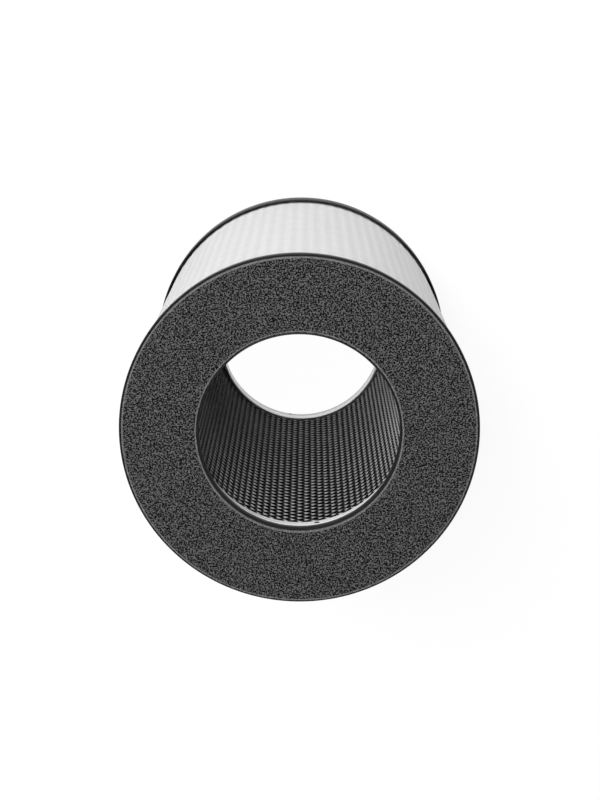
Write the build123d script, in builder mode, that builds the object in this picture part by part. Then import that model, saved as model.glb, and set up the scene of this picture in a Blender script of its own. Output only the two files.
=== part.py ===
from build123d import *
import os
from math import ceil, cos, degrees, radians, sin, tan

# Cylindrical air purifier filter, standing on its deep cap with the foam seal on top.
# The origin is on the floor under the middle of the bore, and +Z runs up the axis.
# Lengths are in millimetres and angles in degrees.

# Overall sizes
filter_height = 202.0
cap_radius = 81.0
bore_radius = 45.2

# Foam seal and its double-sided tape
foam_thickness = 4.0
foam_fit = 0.2
tape_thickness = 0.2
tape_inset = 2.0

# Moulded end caps
cap_wall = 0.8
lip_wall = 0.7
top_plate = 0.8
lip_below_foam = 0.8
rim_below_foam = 1.4
bottom_plate = 1.2
bottom_skirt = 11.0

# Adhesive that beds the media in both caps
potting_depth = 2.0

# Clearances
lay = 0.1
skirt_gap = 0.9

# Diamond net and carbon cartridge, from the bore outwards
net_set_back = 1.7
net_thickness = 1.1
strand_width = 2.2
strand_starts = 7
strand_slope = 36.0
cloth_thickness = 0.4
carbon_thickness = 7.7
lining_flats = 22

# Pleated pack, the beads that space its folds, and the wrap over them
pleat_count = 88
paper_thickness = 0.5
fold_flat = 0.9
bead_count = 4
bead_thickness = 0.5
bead_width = 2.0
wrap_thickness = 0.4
seam_width = 12.0
seam_thickness = 0.3
seam_angle = -90.0

# White collars at both ends of the bore
net_below_foam = 18.8
top_collar_wall = 1.0
bottom_collar_wall = 1.5
bottom_collar_height = 8.4
collar_flats = 40

# Heights worked out from the sizes above
foam_bottom_z = filter_height - foam_thickness
plate_top_z = foam_bottom_z - tape_thickness
plate_under_z = plate_top_z - top_plate
lip_top_z = filter_height - lip_below_foam
rim_top_z = filter_height - rim_below_foam
media_bottom_z = bottom_plate + potting_depth
media_top_z = plate_under_z - potting_depth
media_height = media_top_z - media_bottom_z
net_top_z = filter_height - net_below_foam
net_height = net_top_z - media_bottom_z

# Distances from the axis to the flats of the net and of each lining, from the bore outwards
lip_outer = bore_radius + lip_wall
bottom_collar_outer = bore_radius + bottom_collar_wall
potting_inner = bottom_collar_outer
panel_count = 2 * strand_starts
panel_turn = 360 / panel_count
net_inner = bore_radius + net_set_back
panel_outer = net_inner + net_thickness
net_outer = panel_outer / cos(radians(panel_turn / 2))
top_collar_inner = net_outer - top_collar_wall
cloth_inner = net_outer + lay
cloth_outer = cloth_inner + cloth_thickness
carbon_inner = cloth_outer + lay
carbon_outer = carbon_inner + carbon_thickness
separator_inner = carbon_outer + lay
separator_outer = separator_inner + cloth_thickness

# Radii worked out from the skirt inwards, down to the folds that rest on the separator's corners
skirt_inner = cap_radius - cap_wall
wrap_outer = skirt_inner - skirt_gap
wrap_inner = wrap_outer - wrap_thickness
bead_outer = wrap_inner - lay
bead_inner = bead_outer - bead_thickness
pleat_outer = bead_inner - lay
pleat_inner = separator_outer / cos(radians(180 / lining_flats)) + lay
foam_outer = skirt_inner - foam_fit
foam_inner = lip_outer + foam_fit

os.makedirs("parts", exist_ok=True)


def around(radius, angle):
    """A point at a radius and an angle about the axis."""
    return (radius * cos(radians(angle)), radius * sin(radians(angle)))


# Foam seal ring: open-cell foam, die-cut square
with BuildPart() as foam_seal:
    with BuildSketch(Plane.XY.offset(foam_bottom_z)):
        Circle(foam_outer)
        Circle(foam_inner, mode=Mode.SUBTRACT)
    extrude(amount=foam_thickness)
foam_seal.part.label = "foam_seal"
export_step(foam_seal.part, "parts/foam_seal.step")


# Double-sided tape that holds the foam down
with BuildPart() as foam_tape:
    with BuildSketch(Plane.XY.offset(plate_top_z)):
        RegularPolygon(foam_outer - tape_inset, lining_flats)
        RegularPolygon(foam_inner + tape_inset, lining_flats, major_radius=False, mode=Mode.SUBTRACT)
    extrude(amount=tape_thickness)
foam_tape.part.label = "foam_tape"
export_step(foam_tape.part, "parts/foam_tape.step")


# Top cap: a shallow tray that holds the foam, with a rim round it and a lip inside its hole
with BuildPart() as top_cap:
    with BuildSketch(Plane.XZ):
        with BuildLine():
            Polyline(
                (bore_radius, plate_under_z),
                (bore_radius, lip_top_z),
                (lip_outer, lip_top_z),
                (lip_outer, plate_top_z),
                (skirt_inner, plate_top_z),
                (skirt_inner, rim_top_z),
                (cap_radius, rim_top_z),
                (cap_radius, plate_under_z),
                close=True,
            )
        make_face()
    revolve(axis=Axis.Z)
top_cap.part.label = "top_cap"
export_step(top_cap.part, "parts/top_cap.step")


# Bottom cap: pan with a deep skirt and a plain hole for the collar
with BuildPart() as bottom_cap:
    with BuildSketch(Plane.XZ):
        with BuildLine():
            Polyline(
                (bottom_collar_outer + lay, 0),
                (bottom_collar_outer + lay, bottom_plate),
                (skirt_inner, bottom_plate),
                (skirt_inner, bottom_skirt),
                (cap_radius, bottom_skirt),
                (cap_radius, 0),
                close=True,
            )
        make_face()
    revolve(axis=Axis.Z)
bottom_cap.part.label = "bottom_cap"
export_step(bottom_cap.part, "parts/bottom_cap.step")


# Adhesive beds: a flat ring at each end of the media
with BuildPart() as top_potting:
    with BuildSketch(Plane.XY.offset(media_top_z)):
        RegularPolygon(skirt_inner, lining_flats)
        RegularPolygon(potting_inner, lining_flats, major_radius=False, mode=Mode.SUBTRACT)
    extrude(amount=potting_depth)
top_potting.part.label = "top_potting"
export_step(top_potting.part, "parts/top_potting.step")

with BuildPart() as bottom_potting:
    with BuildSketch(Plane.XY.offset(bottom_plate)):
        RegularPolygon(skirt_inner, lining_flats)
        RegularPolygon(potting_inner, lining_flats, major_radius=False, mode=Mode.SUBTRACT)
    extrude(amount=potting_depth)
bottom_potting.part.label = "bottom_potting"
export_step(bottom_potting.part, "parts/bottom_potting.step")


# Pleated pack: one sheet of filter paper folded to and fro, with a small flat at every fold
outside = []
inside = []
for fold in range(pleat_count):
    crest = fold * 360 / pleat_count
    valley = crest + 180 / pleat_count
    crest_half = degrees(fold_flat / 2 / pleat_outer)
    valley_half = degrees(fold_flat / 2 / pleat_inner)
    outside.append(around(pleat_outer, crest - crest_half))
    outside.append(around(pleat_outer, crest + crest_half))
    outside.append(around(pleat_inner + paper_thickness, valley))
    inside.append(around(pleat_outer - paper_thickness, crest))
    inside.append(around(pleat_inner, valley - valley_half))
    inside.append(around(pleat_inner, valley + valley_half))

with BuildPart() as pleated_pack:
    with BuildSketch(Plane.XY.offset(media_bottom_z)):
        with BuildLine():
            Polyline(*outside, close=True)
        make_face()
        with BuildLine():
            Polyline(*inside, close=True)
        make_face(mode=Mode.SUBTRACT)
    extrude(amount=media_height)
pleated_pack.part.label = "pleated_pack"
export_step(pleated_pack.part, "parts/pleated_pack.step")


# Hot-melt beads that keep the folds apart, peaked outwards and straight between every second fold
bead_gap = media_height / (bead_count + 1)
bead_flats = pleat_count // 2
for bead in range(1, bead_count + 1):
    bead_plane = Plane.XY.offset(media_bottom_z + bead * bead_gap)
    with BuildPart() as spacer_bead:
        for side in (-1, 1):
            with BuildSketch(bead_plane):
                RegularPolygon(bead_outer, bead_flats)
            with BuildSketch(bead_plane.offset(side * bead_width / 2)):
                RegularPolygon(bead_inner, bead_flats, major_radius=False)
            loft(ruled=True)
        with BuildSketch(bead_plane):
            RegularPolygon(bead_inner, bead_flats, major_radius=False)
        extrude(amount=bead_width / 2, both=True, mode=Mode.SUBTRACT)
    spacer_bead.part.label = f"spacer_bead_{bead}"
    export_step(spacer_bead.part, f"parts/spacer_bead_{bead}.step")


# Fine mesh wrap, pulled flat from crest to crest, lapped and glued along one line at the back
seam_half = degrees(seam_width / 2 / wrap_outer)
seam_outer = wrap_outer + seam_thickness
wrap_middle = wrap_outer - wrap_thickness / 2
with BuildPart() as prefilter_wrap:
    with BuildSketch(Plane.XY.offset(media_bottom_z)):
        RegularPolygon(wrap_outer, pleat_count)
        with BuildLine():
            Polyline(
                around(wrap_middle, seam_angle - seam_half),
                around(seam_outer, seam_angle - seam_half),
                around(seam_outer, seam_angle),
                around(seam_outer, seam_angle + seam_half),
                around(wrap_middle, seam_angle + seam_half),
                close=True,
            )
        make_face()
        RegularPolygon(wrap_inner, pleat_count, mode=Mode.SUBTRACT)
    extrude(amount=media_height)
prefilter_wrap.part.label = "prefilter_wrap"
export_step(prefilter_wrap.part, "parts/prefilter_wrap.step")


# Separator cloth between the pleats and the carbon
with BuildPart() as separator_sleeve:
    with BuildSketch(Plane.XY.offset(media_bottom_z)):
        RegularPolygon(separator_outer, lining_flats, major_radius=False)
        RegularPolygon(separator_inner, lining_flats, major_radius=False, mode=Mode.SUBTRACT)
    extrude(amount=media_height)
separator_sleeve.part.label = "separator_sleeve"
export_step(separator_sleeve.part, "parts/separator_sleeve.step")


# Bed of carbon granules, as one body of their outer shape
with BuildPart() as carbon_bed:
    with BuildSketch(Plane.XY.offset(media_bottom_z)):
        RegularPolygon(carbon_outer, lining_flats, major_radius=False)
        RegularPolygon(carbon_inner, lining_flats, major_radius=False, mode=Mode.SUBTRACT)
    extrude(amount=media_height)
carbon_bed.part.label = "carbon_bed"
export_step(carbon_bed.part, "parts/carbon_bed.step")


# Black cloth that keeps the granules out of the net
with BuildPart() as carbon_cloth:
    with BuildSketch(Plane.XY.offset(media_bottom_z)):
        RegularPolygon(cloth_outer, lining_flats, major_radius=False)
        RegularPolygon(cloth_inner, lining_flats, major_radius=False, mode=Mode.SUBTRACT)
    extrude(amount=media_height)
carbon_cloth.part.label = "carbon_cloth"
export_step(carbon_cloth.part, "parts/carbon_cloth.step")


# Diamond net. The strands of both hands cross at fixed angles round the bore and run straight between,
# so the net is a ring of flat panels, each with one zigzag strand, and neighbours mirror each other.
half_panel = panel_outer * tan(radians(panel_turn / 2))
crossing_rise = 2 * half_panel * tan(radians(strand_slope))
crossing_count = ceil(net_height / crossing_rise) + 1
half_rise = strand_width / cos(radians(strand_slope)) / 2
notch = half_rise / tan(radians(strand_slope))

left_edge = []
right_edge = []
for crossing in range(-1, crossing_count + 1):
    along = crossing * crossing_rise
    if crossing % 2:
        left_edge.append((notch - half_panel, along))
        right_edge.append((half_panel, along - half_rise))
        right_edge.append((half_panel, along + half_rise))
    else:
        left_edge.append((-half_panel, along - half_rise))
        left_edge.append((-half_panel, along + half_rise))
        right_edge.append((half_panel - notch, along))
zigzag = left_edge + right_edge[::-1]

with BuildPart() as inner_net:
    for panel in range(panel_count):
        angle = (panel + 0.5) * panel_turn
        mirror_side = -1 if panel % 2 else 1
        panel_plane = Plane(
            origin=(*around(panel_outer, angle), media_bottom_z),
            x_dir=(*around(1, angle + 90), 0),
            z_dir=(*around(1, angle), 0),
        )
        with BuildSketch(panel_plane):
            with BuildLine():
                Polyline(*[(mirror_side * across, along) for across, along in zigzag], close=True)
            make_face()
        extrude(amount=-net_thickness)
    split(bisect_by=Plane.XY.offset(media_bottom_z), keep=Keep.TOP)
    split(bisect_by=Plane.XY.offset(net_top_z), keep=Keep.BOTTOM)
inner_net.part.label = "inner_net"
export_step(inner_net.part, "parts/inner_net.step")


# White band on top of the net, up to the adhesive
with BuildPart() as top_collar:
    with BuildSketch(Plane.XY.offset(net_top_z)):
        RegularPolygon(net_outer, collar_flats)
        RegularPolygon(top_collar_inner, collar_flats, mode=Mode.SUBTRACT)
    extrude(amount=media_top_z - net_top_z)
top_collar.part.label = "top_collar"
export_step(top_collar.part, "parts/top_collar.step")


# White sleeve that lines the lower end of the bore, from the floor past the cap and its adhesive
with BuildPart() as bottom_collar:
    with BuildSketch():
        RegularPolygon(bottom_collar_outer, collar_flats)
        Circle(bore_radius, mode=Mode.SUBTRACT)
    extrude(amount=bottom_collar_height)
bottom_collar.part.label = "bottom_collar"
export_step(bottom_collar.part, "parts/bottom_collar.step")
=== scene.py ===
"""Round air purifier filter, with a foam seal, two black caps, a white mesh wrap and a netted bore.

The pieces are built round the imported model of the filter, which stands on its deep cap.
Lengths are in metres.
"""

from math import atan2, cos, hypot, pi, radians, sin, tan

import bmesh
import bpy
from mathutils import Matrix, Vector, noise


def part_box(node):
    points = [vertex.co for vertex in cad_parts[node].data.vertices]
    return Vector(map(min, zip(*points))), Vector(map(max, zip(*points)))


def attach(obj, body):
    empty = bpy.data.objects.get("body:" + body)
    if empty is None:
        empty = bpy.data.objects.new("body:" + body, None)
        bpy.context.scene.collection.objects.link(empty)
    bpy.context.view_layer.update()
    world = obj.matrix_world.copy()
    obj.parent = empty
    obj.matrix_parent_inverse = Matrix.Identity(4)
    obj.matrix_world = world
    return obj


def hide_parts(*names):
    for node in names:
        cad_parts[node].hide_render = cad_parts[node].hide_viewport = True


bl_info = {
    "name": "Round air purifier filter",
    "version": (1, 0, 0),
    "blender": (4, 5, 0),
    "location": "3D View > Sidebar > Filter",
    "description": "Builds and finishes a round air purifier filter",
    "category": "Object",
}

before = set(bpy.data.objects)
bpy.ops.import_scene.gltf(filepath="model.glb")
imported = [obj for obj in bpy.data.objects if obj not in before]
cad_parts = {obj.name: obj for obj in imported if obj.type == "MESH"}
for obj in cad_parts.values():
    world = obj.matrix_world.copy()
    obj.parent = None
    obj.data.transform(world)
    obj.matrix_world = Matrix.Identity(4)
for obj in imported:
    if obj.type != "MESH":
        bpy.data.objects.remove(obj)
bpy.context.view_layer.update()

MM = 0.001
UP = Vector((0, 0, 1))
MIDDLE = Vector((0, 0, 0))

# How close two points are merged, and the turns at which an edge is shaded sharp and is rounded
WELD = 0.002 * MM
SHARP_TURN = radians(75)
ROUNDED_TURN = radians(40)

# The foam ring: its cut corner, the painted highlight along its cuts, and the reach of an open cell, in
# pores
FOAM_CORNER = 0.35 * MM
FOAM_EDGE_HIGHLIGHT = 1.0 * MM
CELL_REACH = 0.55
CELL_SHUFFLE = Vector((7, 3, 1))

# The adhesive under the top cap: its gap to the rim, how far it draws in downwards, and its rounding
ADHESIVE_GAP = 0.1 * MM
ADHESIVE_TAPER = 0.2 * MM
ADHESIVE_EDGE = 0.3 * MM

# The white collars, with the step of the upper one, the height of the lower one's foot, which is greyed
# with painted shade, and their dabs of glue
COLLAR_EDGE = 0.1 * MM
STEP_ABOVE_NET = 2.3 * MM
SHADED_FOOT = 3.7 * MM
SLEEVE_LIP = 0.4 * MM
TOP_MARK_ANGLE = radians(-80.3)
TOP_MARK_ABOVE_NET = 2.3 * MM
FOOT_MARK_ANGLE = radians(-98)
FOOT_MARK_HEIGHT = 1.2 * MM
FOOT_MARK_SHARE = 0.7
DAB_SHAPE = (0.12, 1, 0.75)

# The netting, with its layers' distance from the middle in strand depths, and the cloth behind it.
# A bay is the turn from one knot to the next along a strand.
NET_FROM_COLLAR = 0.2 * MM
STEPS_IN_BAY = 4
STRAND_SIDES = 6
LAYER_OFFSET = 0.35
CLOTH_CLEARANCE = 0.1 * MM
CLOTH_THICKNESS = 0.4 * MM

# The wrap, with its wander, the softness of its lap and the beads that show through it
WRAP_THICKNESS = 0.4 * MM
WRAP_OVER_FOLDS = 1.1 * MM
WRAP_MESH_PITCH = 1.3 * MM
WRAP_ROW_PITCH = 3.1 * MM
WRAP_CUTS = 14
STEPS_IN_FOLD = 6
WANDER = 0.1 * MM
WANDER_PER_METRE = 38
LAP_EDGE = 0.9 * MM
SEAM_ANGLE = -pi / 2
BEAD_SPACING = 21.3 * MM

# The stage: the floor, the reach of its glowing patch in cap radii, and the sky
FLOOR_HALF_WIDTH = 4.0
FLOOR_GLOW_REACH = 0.9
SKY_STRENGTH = 0.27
LAMPS_FACE = Vector((0, 0, 0.1))

# The camera, worked out from the photograph's outlines
PICTURE_HEIGHT = 800
FOCAL_PIXELS = 1527
CAMERA_PLACE = (0.00376, 0.18568, 0.85984)
CAMERA_TILT = radians(-14.5)
CAMERA_YAW = radians(0.3)


def points(node):
    """The radius and height of each point of a CAD node."""
    return [(hypot(v.co.x, v.co.y), v.co.z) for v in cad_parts[node].data.vertices]


def outer_radius(node):
    """The largest radius of a round CAD node."""
    return max(radius for radius, height in points(node))


def inner_radius(node):
    """The smallest radius of a round CAD node."""
    return min(radius for radius, height in points(node))


def radii(node):
    """The different radii of a turned CAD node, from the bore outwards."""
    steps = []
    for radius in sorted(radius for radius, height in points(node)):
        if not steps or radius - steps[-1] > 0.1 * MM:
            steps.append(radius)
    return steps


def top_beyond(node, limit):
    """The highest point of a CAD node at this radius or further out."""
    return max(height for radius, height in points(node) if radius > limit - WELD)


def bottom(node):
    """The lowest height of a CAD node."""
    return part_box(node)[0].z


def top(node):
    """The highest height of a CAD node."""
    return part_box(node)[1].z


def colour(name, description, default):
    """A colour property with the usual settings."""
    return bpy.props.FloatVectorProperty(
        name=name, description=description, subtype="COLOR", size=3, min=0, max=1, default=default)


def length(name, description, default):
    """A length property with the usual settings."""
    return bpy.props.FloatProperty(
        name=name, description=description, unit="LENGTH", min=0, precision=5, default=default)


class FilterSizes(bpy.types.PropertyGroup):
    """Sizes of the filter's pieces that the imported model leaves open."""

    turn_steps: bpy.props.IntProperty(
        name="Steps in a turn", description="Faces round each turned ring", min=24, default=240)
    edge_round: length("Edge rounding", "Radius on the edges of moulded pieces", 0.14 * MM)
    pore: length("Foam pore", "Width of one open cell of the foam", 0.95 * MM)
    pore_depth: length("Pore depth", "How deep a cut cell is", 0.5 * MM)
    foam_grid: length("Foam grid", "Spacing of the points on the foam's faces", 0.5 * MM)
    strands: bpy.props.IntProperty(
        name="Net strands", description="Strands of each hand in the netting", min=6, default=46)
    strand_slope: bpy.props.FloatProperty(
        name="Strand slope", description="How steeply a strand climbs", subtype="ANGLE",
        default=radians(36))
    strand_width: length("Strand width", "Height of a strand's section", 0.42 * MM)
    strand_depth: length("Strand depth", "Thickness of a strand", 0.42 * MM)
    knot_flat: bpy.props.FloatProperty(
        name="Knot flatness", description="How level a strand runs at its crossings", min=0, max=1,
        default=0.55)
    pleats: bpy.props.IntProperty(
        name="Pleats", description="Folds that the wrap lies on", min=8, default=88)
    flute_depth: length("Flute depth", "How far the wrap draws in between two folds", 0.16 * MM)
    seam_width: length("Seam width", "Width of the wrap's lapped seam", 12 * MM)
    seam_rise: length("Seam rise", "How far the lapped seam stands proud", 0.3 * MM)
    collar_step: length("Collar step", "Depth of the step in the white collar", 0.22 * MM)
    mark_radius: length("Glue mark", "Radius of the dark marks on the collars", 1.3 * MM)


class FilterColours(bpy.types.PropertyGroup):
    """Colours of the filter's materials."""

    foam: colour("Foam", "Foam between its pores", (0.0125, 0.0125, 0.0128))
    cap: colour("Cap", "Moulded caps", (0.005, 0.0045, 0.0045))
    wrap: colour("Wrap", "White mesh over the pleats", (0.58, 0.58, 0.58))
    net: colour("Net", "Strands of the diamond netting", (0.008, 0.008, 0.0083))
    # A painted highlight, put on the netting where its strands cross
    knot_highlight: colour("Knot", "Flat shiny knots of the netting", (0.31, 0.31, 0.314))
    cloth: colour("Cloth", "Cloth behind the netting", (0.001, 0.001, 0.001))
    collar: colour("Collar", "White collars in the bore", (0.93, 0.93, 0.925))
    glue: colour("Adhesive", "Adhesive beds, beads and marks", (0.02, 0.019, 0.018))
    paper: colour("Paper", "Pleated paper", (0.78, 0.78, 0.76))
    carbon: colour("Carbon", "Carbon granules", (0.012, 0.012, 0.012))
    tape: colour("Tape", "Double-sided tape", (0.6, 0.59, 0.55))
    floor: colour("Floor", "Floor under the filter", (0.82, 0.82, 0.82))


# Shader maths

class Wire:
    """A shader socket in a material's tree, used in sums like a number."""

    def __init__(self, tree, socket=None):
        self.tree = tree
        self.socket = socket

    def node(self, kind, settings, inputs, output=0):
        """A new node: its settings first, then the values or wires of its sockets."""
        made = self.tree.nodes.new(kind)
        for name, value in settings.items():
            setattr(made, name, value)
        for name, value in inputs.items():
            if isinstance(value, Wire):
                self.tree.links.new(value.socket, made.inputs[name])
            else:
                made.inputs[name].default_value = value
        return Wire(self.tree, made.outputs[output])

    def maths(self, operation, other=0.0, clamp=False):
        settings = {"operation": operation, "use_clamp": clamp}
        return self.node("ShaderNodeMath", settings, {0: self, 1: other})

    def __add__(self, other):
        return self.maths("ADD", other)

    __radd__ = __add__

    def __sub__(self, other):
        return self.maths("SUBTRACT", other)

    def __rsub__(self, other):
        return self.node("ShaderNodeMath", {"operation": "SUBTRACT"}, {0: other, 1: self})

    def __mul__(self, other):
        return self.maths("MULTIPLY", other)

    __rmul__ = __mul__

    def clamped(self):
        """The value held between 0 and 1."""
        return self.maths("ADD", clamp=True)

    def sine(self):
        return self.maths("SINE")

    def cosine(self):
        return self.maths("COSINE")

    def between(self, low, high):
        """0 at low and 1 at high, with a soft step between."""
        return self.node(
            "ShaderNodeMapRange", {"interpolation_type": "SMOOTHSTEP"},
            {"Value": self, "From Min": low, "From Max": high, "To Min": 0.0, "To Max": 1.0})

    def blend(self, first, second):
        """A colour between two others, with this value as the share of the second."""
        return self.node("ShaderNodeMix", {"data_type": "RGBA"}, {0: self, 6: first, 7: second}, output=2)

    def part(self, axis):
        """One coordinate of a vector."""
        return self.node("ShaderNodeSeparateXYZ", {}, {0: self}, output=axis)

    def from_axis(self):
        """Distance of a place from the filter's axis."""
        level = self.node("ShaderNodeVectorMath", {"operation": "MULTIPLY"}, {0: self, 1: (1, 1, 0)})
        return self.node("ShaderNodeVectorMath", {"operation": "LENGTH"}, {0: level}, output="Value")

    def noise(self, size, detail=3.0, roughness=0.55, distortion=0.0):
        """Noise over a place, with features about this size."""
        return self.node("ShaderNodeTexNoise", {}, {
            "Vector": self, "Scale": 1 / size, "Detail": detail, "Roughness": roughness,
            "Distortion": distortion})

    def cells(self, size):
        """Distance to the nearest of many scattered points this far apart, as a share of that."""
        return self.node("ShaderNodeTexVoronoi", {}, {"Vector": self, "Scale": 1 / size})

    def bumped(self, distance, strength):
        """A normal from this height."""
        return self.node("ShaderNodeBump", {}, {"Height": self, "Distance": distance, "Strength": strength})


def shade(tint, factor):
    """A colour made lighter or darker, with its alpha."""
    return tuple(min(1.0, channel * factor) for channel in tint) + (1.0,)


def new_material(name):
    """An empty material and a wire with the place on its piece."""
    made = bpy.data.materials.new(name)
    made.use_nodes = True
    made.node_tree.nodes.clear()
    return made, Wire(made.node_tree).node("ShaderNodeTexCoord", {}, {}, output="Object")


def covered(made, shader, output_kind="ShaderNodeOutputMaterial"):
    """Joins a shader to the output of a material or a world."""
    output = made.node_tree.nodes.new(output_kind)
    made.node_tree.links.new(shader.socket, output.inputs["Surface"])
    return made


def finish(made, place, **sockets):
    """Covers the material with a Principled shader that has these sockets."""
    inputs = {name.replace("_", " "): value for name, value in sockets.items()}
    return covered(made, place.node("ShaderNodeBsdfPrincipled", {}, inputs))


def foam_material(colours, sizes, inner, outer):
    """Open-cell foam: pale struts round pores darkened with painted shade, and a painted highlight along
    both cut edges.
    """
    made, place = new_material("seal_foam")
    # How deep each cut cell is; the material paints the pore darker with it, as painted shade
    depth = place.node("ShaderNodeAttribute", {"attribute_name": "pore_depth"}, {}, output="Fac")
    struts = place.cells(0.95 * sizes.pore)
    grain = place.noise(0.72 * sizes.pore, 1.0, 0.5).between(0.46, 0.56)
    patches = place.noise(6 * MM)
    # Painted shade: the pores are darkened by their depth and by their nearness to a cell's middle, over
    # random grain and patches
    grain_and_pore_shade = grain * 0.8 + struts * 0.45 - depth * 0.4 + patches * 0.1 - 0.21
    body = grain_and_pore_shade.clamped().blend(shade(colours.foam, 0.04), shade(colours.foam, 7.2))
    # Painted highlight: a paler line along the cut edge at the hole and at the rim
    radius = place.from_axis()
    hole_highlight = 1 - radius.between(inner + 0.6 * FOAM_EDGE_HIGHLIGHT, inner + FOAM_EDGE_HIGHLIGHT)
    rim_highlight = radius.between(outer - FOAM_EDGE_HIGHLIGHT, outer - 0.6 * FOAM_EDGE_HIGHLIGHT)
    edge = (hole_highlight + rim_highlight) * (grain * 0.4 + 0.6)
    tint = edge.clamped().blend(body, shade(colours.foam, 10.5))
    return finish(
        made, place, Base_Color=tint, Roughness=0.85, Specular_IOR_Level=0.05,
        Normal=(struts + grain * 0.5).bumped(0.2 * MM, 0.7))


def cap_material(colours):
    """Satin black moulding with a faint grained skin and a few paler rubs."""
    made, place = new_material("cap_plastic")
    grain = place.noise(0.3 * MM, 2.0)
    rubs = place.noise(11 * MM, 4.0, 0.7).between(0.58, 0.74)
    tint = (rubs * 0.5).blend(shade(colours.cap, 1.0), shade(colours.cap, 2.5))
    return finish(
        made, place, Base_Color=tint, Roughness=grain * 0.12 + 0.34 + rubs * 0.1, Specular_IOR_Level=0.12,
        Normal=grain.bumped(0.02 * MM, 0.5))


def wrap_material(colours, sizes, wall_radius):
    """Fine white mesh over white pleats, which show through as faint upright stripes."""
    made, place = new_material("mesh_wrap")
    angle = place.part("Y").maths("ARCTAN2", place.part("X"))
    height = place.part("Z")
    folds = (angle * float(sizes.pleats)).cosine()
    meshes_round = round(2 * pi * wall_radius / WRAP_MESH_PITCH)
    climb = height * (2 * pi / WRAP_MESH_PITCH)
    rising = (angle * float(meshes_round) + climb).sine()
    falling = (angle * float(meshes_round) - climb).sine()
    threads = rising.maths("MAXIMUM", falling).between(0.25, 0.95)
    beads = (height * (2 * pi / BEAD_SPACING)).cosine().between(0.88, 1.0)
    rows = (height * (2 * pi / WRAP_ROW_PITCH)).sine()
    cloud = place.noise(9 * MM, 4.0)
    fluff = place.noise(1.6 * MM, 2.0, 0.7).between(0.3, 0.7)
    tone = folds * 0.1 + threads * 0.16 + rows * 0.04 + cloud * 0.25 + fluff * 0.2 + beads * 0.07 + 0.16
    tint = tone.clamped().blend(shade(colours.wrap, 0.8), shade(colours.wrap, 1.16))
    return finish(
        made, place, Base_Color=tint, Roughness=0.85, Specular_IOR_Level=0.2,
        Normal=(threads + cloud * 0.3).bumped(0.09 * MM, 0.7))


def net_material(colours, sizes, knot_height, rise):
    """Black extruded netting with a painted highlight on its flat crossings, which stand this far apart
    from this height on.
    """
    made, place = new_material("net_plastic")
    angle = place.part("Y").maths("ARCTAN2", place.part("X"))
    rows = (place.part("Z") - knot_height) * (pi / rise)
    # Painted highlight: the strands' crossings are painted much lighter than the rest of the netting
    knot_highlights = ((angle * float(sizes.strands)).cosine() * rows.cosine()).between(0.12, 0.8)
    drawn = place.noise(0.7 * MM, 3.0)
    dust = place.noise(2.4 * MM, 4.0, 0.65).between(0.5, 0.8)
    plain = (dust * 0.6).blend(shade(colours.net, 0.8), shade(colours.net, 1.8))
    tint = knot_highlights.blend(plain, shade(colours.knot_highlight, 1.0))
    return finish(
        made, place, Base_Color=tint, Roughness=drawn * 0.1 + 0.35 - knot_highlights * 0.1, Specular_IOR_Level=0.4,
        Normal=drawn.bumped(0.04 * MM, 0.5))


def cloth_material(colours):
    """Thin black non-woven cloth with matted fibres."""
    made, place = new_material("black_cloth")
    fibres = place.noise(0.7 * MM, 5.0, 0.7, 1.4)
    tint = fibres.between(0.4, 0.75).blend(shade(colours.cloth, 0.6), shade(colours.cloth, 2.4))
    return finish(
        made, place, Base_Color=tint, Roughness=0.95, Specular_IOR_Level=0.05,
        Normal=fibres.bumped(0.12 * MM, 0.7))


def collar_material(colours, step_height):
    """Satin white plastic with patchy soil, a line of painted shade along its step, and a foot greyed with
    painted shade where it meets the floor.
    """
    made, place = new_material("collar_plastic")
    soil = place.noise(6 * MM, 5.0, 0.65).between(0.35, 0.75)
    grain = place.noise(0.4 * MM, 2.0)
    # Painted shade: the sleeve is greyed from the floor up to its foot's height
    foot = 1 - place.part("Z").between(SHADED_FOOT - 0.3 * MM, SHADED_FOOT + 0.1 * MM)
    # Painted shade: a thin darker line along the collar's step
    off_step = (place.part("Z") - step_height).maths("ABSOLUTE")
    step_shade = 1 - off_step.between(0.25 * MM, 0.5 * MM)
    clean = soil.blend(shade(colours.collar, 1.04), shade(colours.collar, 0.95))
    tint = (foot + step_shade).clamped().blend(clean, shade(colours.collar, 0.6))
    return finish(
        made, place, Base_Color=tint, Roughness=grain * 0.1 + 0.4, Normal=grain.bumped(0.03 * MM, 0.5))


def grained_material(name, tint, grain, depth, roughness, contrast):
    """A matt material with lumps of one size, for adhesive, carbon, paper, cloth and tape."""
    made, place = new_material(name)
    lumps = place.cells(grain)
    cloud = place.noise(3.3 * grain, 4.0)
    tone = (lumps * 0.6 + cloud * 0.5).clamped()
    shown = tone.blend(shade(tint, 1 + contrast), shade(tint, 1 - contrast))
    return finish(
        made, place, Base_Color=shown, Roughness=cloud * 0.1 + roughness, Normal=lumps.bumped(depth, 0.6))


def glue_material(name, colours):
    """Set adhesive with a lumpy skin."""
    return grained_material(
        name, colours.glue, grain=1.6 * MM, depth=0.1 * MM, roughness=0.45, contrast=0.35)


def shows_background(wire):
    """1 for the rays that show what lies behind: the camera's, and those off gloss or through glass."""
    rays = [wire.node("ShaderNodeLightPath", {}, {}, output=ray)
            for ray in ("Is Camera Ray", "Is Glossy Ray", "Is Transmission Ray")]
    return (rays[0] + rays[1] + rays[2]).clamped()


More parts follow.
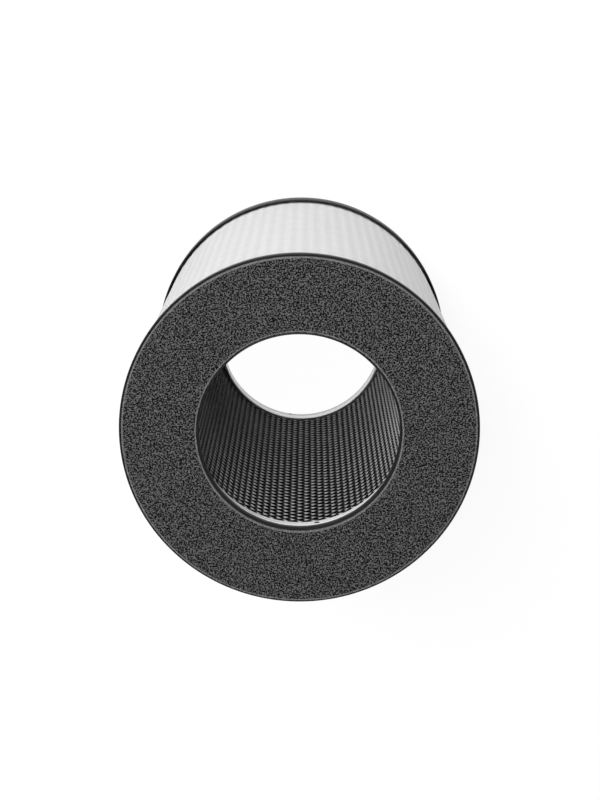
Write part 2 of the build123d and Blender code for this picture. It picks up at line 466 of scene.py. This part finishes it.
def floor_material(colours, bore, outer):
    """Pale floor that shows near white and keeps a light shadow, with a patch under the bore that glows to
    every ray and lights the bore like a lamp.
    """
    made, place = new_material("pale_floor")
    cloud = place.noise(0.3, 2.0)
    painted = cloud.blend(shade(colours.floor, 0.99), shade(colours.floor, 1.01))
    matt = place.node("ShaderNodeBsdfDiffuse", {}, {"Color": painted})
    glow = place.node("ShaderNodeEmission", {}, {"Color": (1, 1, 1, 1), "Strength": 1.0})
    # A glowing patch: under the bore the floor emits light to every ray and lights the inside of the bore,
    # though it is no lamp
    glow_under_bore = 1 - place.from_axis().between(bore, outer)
    share = (shows_background(place) * 0.88 + glow_under_bore).maths("MINIMUM", 0.98)
    return covered(made, place.node("ShaderNodeMixShader", {}, {0: share, 1: matt, 2: glow}))


# Mesh tools

def turned(outline, steps):
    """A closed outline of (radius, height) points, turned about the axis, with its faces outwards."""
    bm = bmesh.new()
    verts = [bm.verts.new((radius, 0, height)) for radius, height in outline]
    edges = [bm.edges.new((verts[i], verts[i - 1])) for i in range(len(verts))]
    spun(bm, verts + edges, steps)
    bmesh.ops.recalc_face_normals(bm, faces=bm.faces)
    return bm


def spun(bm, geometry, steps):
    """Spins a section right round the axis and closes it."""
    bmesh.ops.spin(bm, geom=geometry, cent=MIDDLE, axis=UP, angle=2 * pi, steps=steps, use_merge=True)
    bmesh.ops.remove_doubles(bm, verts=bm.verts, dist=WELD)


def round_edges(bm, radius):
    """Rounds every edge that turns sharply enough."""
    sharp = [edge for edge in bm.edges if edge.is_manifold and edge.calc_face_angle() > ROUNDED_TURN]
    bmesh.ops.bevel(
        bm, geom=sharp, offset=radius, offset_type="OFFSET", segments=2, profile=0.5,
        affect="EDGES", material=-1, clamp_overlap=True)


def finished(name, bm, material, slot, *nodes):
    """Makes the piece from its mesh, gives it its material and hides the CAD nodes it stands for."""
    mesh = bpy.data.meshes.new(name)
    bm.to_mesh(mesh)
    bm.free()
    mesh.polygons.foreach_set("use_smooth", [True] * len(mesh.polygons))
    mesh.set_sharp_from_angle(angle=SHARP_TURN)
    mesh.materials.append(material)
    piece = bpy.data.objects.new(name, mesh)
    bpy.context.scene.collection.objects.link(piece)
    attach(piece, "root")
    if nodes:
        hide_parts(*nodes)


def dress(node, material):
    """Gives a CAD node a better material."""
    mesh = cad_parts[node].data
    mesh.materials.clear()
    mesh.materials.append(material)


class FILTER_OT_foam_seal(bpy.types.Operator):
    """Build the foam ring, its faces pitted with open cells"""

    bl_idname = "filter.foam_seal"
    bl_label = "Foam seal"

    def execute(self, context):
        sizes = context.scene.filter_sizes
        outer = outer_radius("foam_seal")
        inner = inner_radius("foam_seal")
        low = bottom("foam_seal")
        high = top("foam_seal")
        shoulder = high - FOAM_CORNER
        bm = bmesh.new()
        outline = (
            (inner, low), (inner, shoulder), (inner + FOAM_CORNER, high),
            (outer - FOAM_CORNER, high), (outer, shoulder), (outer, low),
        )
        corners = [bm.verts.new((radius, 0, height)) for radius, height in outline]
        sides = [bm.edges.new(pair) for pair in zip(corners, corners[1:])]
        bm.edges.new((corners[-1], corners[0]))
        for side in sides:
            cuts = round(side.calc_length() / sizes.foam_grid) - 1
            if cuts > 0:
                bmesh.ops.subdivide_edges(bm, edges=[side], cuts=cuts)
        spun(bm, list(bm.verts) + list(bm.edges), round(pi * (outer + inner) / sizes.foam_grid))
        bmesh.ops.recalc_face_normals(bm, faces=bm.faces)
        self.cut_pores(bm, sizes, low + 0.2 * sizes.foam_grid)
        finished("foam_ring", bm, foam_material(context.scene.filter_colours, sizes, inner, outer),
                 "seal_foam", "foam_seal")
        return {"FINISHED"}

    def cut_pores(self, bm, sizes, lowest):
        """Sinks each cell that the knife opened, and keeps its depth for the material's painted shade in
        the pores.
        """
        depths = bm.verts.layers.float.new("pore_depth")
        bm.normal_update()
        moves = []
        for vert in bm.verts:
            if vert.co.z < lowest:
                continue
            spot = vert.co / sizes.pore
            open_cell = max(0.0, 1 - (noise.voronoi(spot)[0][0] / CELL_REACH) ** 2)
            cut = 0.6 + 0.4 * noise.noise(spot * 0.31 + CELL_SHUFFLE)
            rough = 0.5 + 0.5 * noise.noise(spot * 2.3)
            share = min(1.0, open_cell * cut + 0.22 * rough)
            vert[depths] = share
            moves.append((vert, vert.normal * -share * sizes.pore_depth))
        for vert, move in moves:
            vert.co += move


class FILTER_OT_caps(bpy.types.Operator):
    """Build both moulded caps, with rounded edges, and the adhesive bead under the top one"""

    bl_idname = "filter.caps"
    bl_label = "End caps"

    def execute(self, context):
        sizes = context.scene.filter_sizes
        colours = context.scene.filter_colours
        material = cap_material(colours)
        bore, lip, inside, outer = radii("top_cap")
        under = bottom("top_cap")
        plate = bottom("foam_tape")
        rim = top_beyond("top_cap", inside)
        bm = turned([
            (bore, under), (bore, top("top_cap")), (lip, top("top_cap")), (lip, plate),
            (inside, plate), (inside, rim), (outer, rim), (outer, under),
        ], sizes.turn_steps)
        round_edges(bm, sizes.edge_round)
        finished("top_cap_moulding", bm, material, "cap_plastic", "top_cap")

        hole, inside, outer = radii("bottom_cap")
        plate = bottom("bottom_potting")
        rim = top("bottom_cap")
        bm = turned([
            (hole, 0), (hole, plate), (inside, plate), (inside, rim), (outer, rim), (outer, 0),
        ], sizes.turn_steps)
        round_edges(bm, sizes.edge_round)
        finished("bottom_cap_moulding", bm, material, "cap_plastic", "bottom_cap")

        glue = glue_material("adhesive_bead", colours)
        low = bottom("top_potting")
        inner = outer_radius("bottom_collar")
        edge = inside - ADHESIVE_GAP
        bm = turned([
            (inner, low), (inner, under), (edge, under), (edge - ADHESIVE_TAPER, low),
        ], sizes.turn_steps)
        round_edges(bm, ADHESIVE_EDGE)
        finished("top_adhesive", bm, glue, "adhesive", "top_potting")
        return {"FINISHED"}


class FILTER_OT_collars(bpy.types.Operator):
    """Build the white collar above the net and the white sleeve at its foot, with their glue marks"""

    bl_idname = "filter.collars"
    bl_label = "White collars"

    def execute(self, context):
        sizes = context.scene.filter_sizes
        colours = context.scene.filter_colours
        step = bottom("top_collar") + STEP_ABOVE_NET
        material = collar_material(colours, step)
        glue = grained_material(
            "glue_mark", colours.glue, grain=0.6 * MM, depth=0.05 * MM, roughness=0.5, contrast=0.3)
        inner = inner_radius("top_collar")
        outer = outer_radius("top_collar")
        set_back = inner + sizes.collar_step
        low = bottom("top_collar")
        high = top("top_collar")
        bm = turned([
            (inner, low), (inner, step), (set_back, step + sizes.collar_step), (set_back, high),
            (outer, high), (outer, low),
        ], sizes.turn_steps)
        round_edges(bm, COLLAR_EDGE)
        finished("top_collar_band", bm, material, "collar_plastic", "top_collar")
        self.mark("top_collar_mark", inner, TOP_MARK_ANGLE, low + TOP_MARK_ABOVE_NET,
                  sizes.mark_radius, glue)

        inner = inner_radius("bottom_collar")
        outer = outer_radius("bottom_collar")
        high = top("bottom_collar")
        ledge = inner + SLEEVE_LIP
        bm = turned([
            (inner, 0), (inner, high), (ledge, high), (ledge, SHADED_FOOT), (outer, SHADED_FOOT), (outer, 0),
        ], sizes.turn_steps)
        round_edges(bm, COLLAR_EDGE)
        finished("bottom_collar_sleeve", bm, material, "collar_plastic", "bottom_collar")
        self.mark("bottom_collar_mark", inner, FOOT_MARK_ANGLE, FOOT_MARK_HEIGHT,
                  FOOT_MARK_SHARE * sizes.mark_radius, glue)
        return {"FINISHED"}

    def mark(self, name, radius, angle, height, size, material):
        """A flat dab of glue on the inside of a collar."""
        bm = bmesh.new()
        bmesh.ops.create_uvsphere(bm, u_segments=24, v_segments=12, radius=size)
        bmesh.ops.scale(bm, vec=DAB_SHAPE, verts=bm.verts)
        bmesh.ops.translate(bm, vec=(radius, 0, height), verts=bm.verts)
        bmesh.ops.rotate(bm, cent=MIDDLE, matrix=Matrix.Rotation(angle, 3, "Z"), verts=bm.verts)
        finished(name, bm, material, "adhesive")


class FILTER_OT_bore_net(bpy.types.Operator):
    """Build the diamond netting as two layers of strands that climb opposite ways"""

    bl_idname = "filter.bore_net"
    bl_label = "Bore netting"

    def execute(self, context):
        sizes = context.scene.filter_sizes
        low = bottom("inner_net")
        high = top("inner_net")
        middle = inner_radius("top_collar") - NET_FROM_COLLAR
        bay = pi / sizes.strands
        rise = bay * middle * tan(sizes.strand_slope)
        bays = int((high - low) / rise) + 3
        start = low - 1.5 * rise
        material = net_material(context.scene.filter_colours, sizes, start, rise)
        for name, hand in (("bore_net_right", 1), ("bore_net_left", -1)):
            bm = bmesh.new()
            section = bmesh.ops.create_circle(
                bm, cap_ends=False, segments=STRAND_SIDES, radius=0.5 * sizes.strand_width)
            ring = section["verts"]
            bmesh.ops.rotate(bm, cent=MIDDLE, matrix=Matrix.Rotation(pi / 2, 3, "X"), verts=ring)
            bmesh.ops.scale(bm, vec=(sizes.strand_depth / sizes.strand_width, 1, 1), verts=ring)
            radius = middle - hand * LAYER_OFFSET * sizes.strand_depth
            bmesh.ops.translate(bm, vec=(radius, 0, start), verts=ring)
            edges = list({edge for vert in ring for edge in vert.link_edges})
            steps = bays * STEPS_IN_BAY
            bmesh.ops.spin(
                bm, geom=ring + edges, cent=MIDDLE, axis=UP, dvec=(0, 0, rise / STEPS_IN_BAY),
                angle=hand * bay * bays, steps=steps)
            bmesh.ops.recalc_face_normals(bm, faces=bm.faces)
            bmesh.ops.spin(
                bm, geom=list(bm.verts) + list(bm.edges) + list(bm.faces), cent=MIDDLE, axis=UP,
                angle=2 * pi, steps=sizes.strands, use_duplicate=True, use_merge=False)
            bmesh.ops.remove_doubles(bm, verts=bm.verts, dist=0.5 * WELD)
            self.level_at_knots(bm, hand * sizes.knot_flat * rise / (2 * pi), bay)
            self.cut_level(bm, low, -1)
            self.cut_level(bm, high, 1)
            finished(name, bm, material, "net_plastic", "inner_net")
        return {"FINISHED"}

    def level_at_knots(self, bm, sway, bay):
        """Bends the strands so that they run level where they cross and steep between."""
        for vert in bm.verts:
            vert.co.z -= sway * sin(2 * pi * atan2(vert.co.y, vert.co.x) / bay)

    def cut_level(self, bm, height, side):
        """Cuts the strands off level and closes their ends."""
        cut = bmesh.ops.bisect_plane(
            bm, geom=list(bm.verts) + list(bm.edges) + list(bm.faces), plane_co=(0, 0, height),
            plane_no=(0, 0, side), clear_outer=True)
        edges = [item for item in cut["geom_cut"] if isinstance(item, bmesh.types.BMEdge)]
        bmesh.ops.holes_fill(bm, edges=edges, sides=16)


class FILTER_OT_bore_cloth(bpy.types.Operator):
    """Build the black cloth behind the netting as one smooth tube"""

    bl_idname = "filter.bore_cloth"
    bl_label = "Bore cloth"

    def execute(self, context):
        inner = outer_radius("inner_net") + CLOTH_CLEARANCE
        outer = inner + CLOTH_THICKNESS
        low = bottom("carbon_cloth")
        high = top("carbon_cloth")
        bm = turned([(inner, low), (inner, high), (outer, high), (outer, low)],
                    context.scene.filter_sizes.turn_steps)
        finished("bore_cloth", bm, cloth_material(context.scene.filter_colours),
                 "black_cloth", "carbon_cloth")
        return {"FINISHED"}


class FILTER_OT_mesh_wrap(bpy.types.Operator):
    """Build the white wrap, drawn in a little between the folds, with its lapped seam"""

    bl_idname = "filter.mesh_wrap"
    bl_label = "Mesh wrap"

    def execute(self, context):
        sizes = context.scene.filter_sizes
        outer = outer_radius("pleated_pack") + WRAP_OVER_FOLDS
        bm = bmesh.new()
        lower = bm.verts.new((outer, 0, bottom("prefilter_wrap")))
        upper = bm.verts.new((outer, 0, top("prefilter_wrap")))
        wall = bm.edges.new((lower, upper))
        bmesh.ops.subdivide_edges(bm, edges=[wall], cuts=WRAP_CUTS)
        spun(bm, list(bm.verts) + list(bm.edges), sizes.pleats * STEPS_IN_FOLD)
        for vert in bm.verts:
            self.settle(vert, sizes, outer)
        bmesh.ops.recalc_face_normals(bm, faces=bm.faces)
        bmesh.ops.solidify(bm, geom=list(bm.faces), thickness=WRAP_THICKNESS)
        bmesh.ops.recalc_face_normals(bm, faces=bm.faces)
        finished("mesh_wrap", bm, wrap_material(context.scene.filter_colours, sizes, outer), "mesh_wrap",
                 "prefilter_wrap")
        return {"FINISHED"}

    def settle(self, vert, sizes, outer):
        """Draws the cloth in between two folds, lifts it at the seam, and lets it wander a little."""
        angle = Vector((vert.co.x, vert.co.y)).angle_signed(Vector((1, 0)))
        flute = sizes.flute_depth * (1 - cos(angle * sizes.pleats)) / 2
        wander = WANDER * noise.noise(vert.co * WANDER_PER_METRE)
        off_seam = abs(angle - SEAM_ANGLE) * outer
        lap = min(1.0, max(0.0, (sizes.seam_width / 2 - off_seam) / LAP_EDGE + 0.5))
        radius = outer - flute + wander + sizes.seam_rise * lap
        vert.co.x *= radius / outer
        vert.co.y *= radius / outer


class FILTER_OT_inner_layers(bpy.types.Operator):
    """Finish the layers inside the filter, which keep their CAD shapes"""

    bl_idname = "filter.inner_layers"
    bl_label = "Inner layers"

    def execute(self, context):
        colours = context.scene.filter_colours
        glue = glue_material("adhesive", colours)
        finishes = {
            "foam_tape": grained_material(
                "tape", colours.tape, grain=0.8 * MM, depth=0.02 * MM, roughness=0.5, contrast=0.06),
            "bottom_potting": glue,
            "pleated_pack": grained_material(
                "filter_paper", colours.paper, grain=0.5 * MM, depth=0.03 * MM, roughness=0.85,
                contrast=0.05),
            "separator_sleeve": grained_material(
                "white_cloth", colours.paper, grain=0.35 * MM, depth=0.05 * MM, roughness=0.9,
                contrast=0.08),
            "carbon_bed": grained_material(
                "carbon", colours.carbon, grain=1.9 * MM, depth=0.8 * MM, roughness=0.6, contrast=0.5),
        }
        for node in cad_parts:
            if node.startswith("spacer_bead"):
                finishes[node] = glue
        for node, material in finishes.items():
            dress(node, material)
        return {"FINISHED"}


class FILTER_OT_stage(bpy.types.Operator):
    """Set the floor, the lights and the camera at the photograph's angle"""

    bl_idname = "filter.stage"
    bl_label = "Stage"

    def execute(self, context):
        self.floor(context)
        self.lights(context)
        self.camera(context)
        context.scene.view_settings.view_transform = "Standard"
        return {"FINISHED"}

    def floor(self, context):
        bm = bmesh.new()
        bmesh.ops.create_grid(bm, x_segments=8, y_segments=8, size=FLOOR_HALF_WIDTH)
        mesh = bpy.data.meshes.new("floor")
        bm.to_mesh(mesh)
        bm.free()
        mesh.materials.append(floor_material(
            context.scene.filter_colours, inner_radius("bottom_collar"),
            FLOOR_GLOW_REACH * outer_radius("bottom_cap")))
        floor = bpy.data.objects.new("floor", mesh)
        context.scene.collection.objects.link(floor)

    def lights(self, context):
        world = bpy.data.worlds.new("studio")
        world.use_nodes = True
        world.node_tree.nodes.clear()
        sky = Wire(world.node_tree)
        plain, shown = [
            sky.node("ShaderNodeBackground", {}, {"Color": (1, 1, 1, 1), "Strength": strength})
            for strength in (SKY_STRENGTH, 1.0)]
        mixed = sky.node("ShaderNodeMixShader", {}, {0: shows_background(sky), 1: plain, 2: shown})
        context.scene.world = covered(world, mixed, "ShaderNodeOutputWorld")
        self.area("key_light", (-0.45, 0.6, 1.2), size=0.6, power=12.5)
        self.area("bore_light", (-0.15, 0.3, 1.35), size=0.3, power=10.0)
        self.area("fill_light", (0.8, 0.25, 1.0), size=0.9, power=2.0)
        self.area("back_light", (0.1, 1.3, 0.5), size=0.9, power=4.0)
        self.area("front_light", (-0.3, -1.3, 0.6), size=0.9, power=8.0)

    def area(self, name, place, size, power):
        """A soft lamp that faces the middle of the filter."""
        lamp = bpy.data.lights.new(name, "AREA")
        lamp.size = size
        lamp.energy = power
        stand = bpy.data.objects.new(name, lamp)
        stand.location = place
        aim = LAMPS_FACE - Vector(place)
        stand.rotation_euler = aim.to_track_quat("-Z", "Y").to_euler()
        bpy.context.scene.collection.objects.link(stand)

    def camera(self, context):
        view = bpy.data.cameras.new("photo_camera")
        view.sensor_width = 36.0
        view.lens = FOCAL_PIXELS / PICTURE_HEIGHT * view.sensor_width
        view.clip_start = 0.01
        holder = bpy.data.objects.new("photo_camera", view)
        holder.location = CAMERA_PLACE
        holder.rotation_euler = (CAMERA_TILT, CAMERA_YAW, 0)
        context.scene.collection.objects.link(holder)
        context.scene.camera = holder


class FILTER_PT_panel(bpy.types.Panel):
    """The filter's sizes, colours and build steps"""

    bl_idname = "FILTER_PT_panel"
    bl_label = "Air purifier filter"
    bl_space_type = "VIEW_3D"
    bl_region_type = "UI"
    bl_category = "Filter"

    def draw(self, context):
        for operator in OPERATORS:
            self.layout.operator(operator.bl_idname)
        for group in (context.scene.filter_sizes, context.scene.filter_colours):
            column = self.layout.column(align=True)
            for name in group.__annotations__:
                column.prop(group, name)


OPERATORS = (
    FILTER_OT_stage,
    FILTER_OT_foam_seal,
    FILTER_OT_caps,
    FILTER_OT_collars,
    FILTER_OT_bore_net,
    FILTER_OT_bore_cloth,
    FILTER_OT_mesh_wrap,
    FILTER_OT_inner_layers,
)
CLASSES = (FilterSizes, FilterColours, *OPERATORS, FILTER_PT_panel)


def register():
    for entry in CLASSES:
        bpy.utils.register_class(entry)
    bpy.types.Scene.filter_sizes = bpy.props.PointerProperty(type=FilterSizes)
    bpy.types.Scene.filter_colours = bpy.props.PointerProperty(type=FilterColours)


def unregister():
    del bpy.types.Scene.filter_colours
    del bpy.types.Scene.filter_sizes
    for entry in reversed(CLASSES):
        bpy.utils.unregister_class(entry)


def main():
    """Builds the filter and its stage."""
    register()
    bpy.ops.filter.stage()
    bpy.ops.filter.foam_seal()
    bpy.ops.filter.caps()
    bpy.ops.filter.collars()
    bpy.ops.filter.bore_net()
    bpy.ops.filter.bore_cloth()
    bpy.ops.filter.mesh_wrap()
    bpy.ops.filter.inner_layers()


if __name__ == "__main__":
    main()
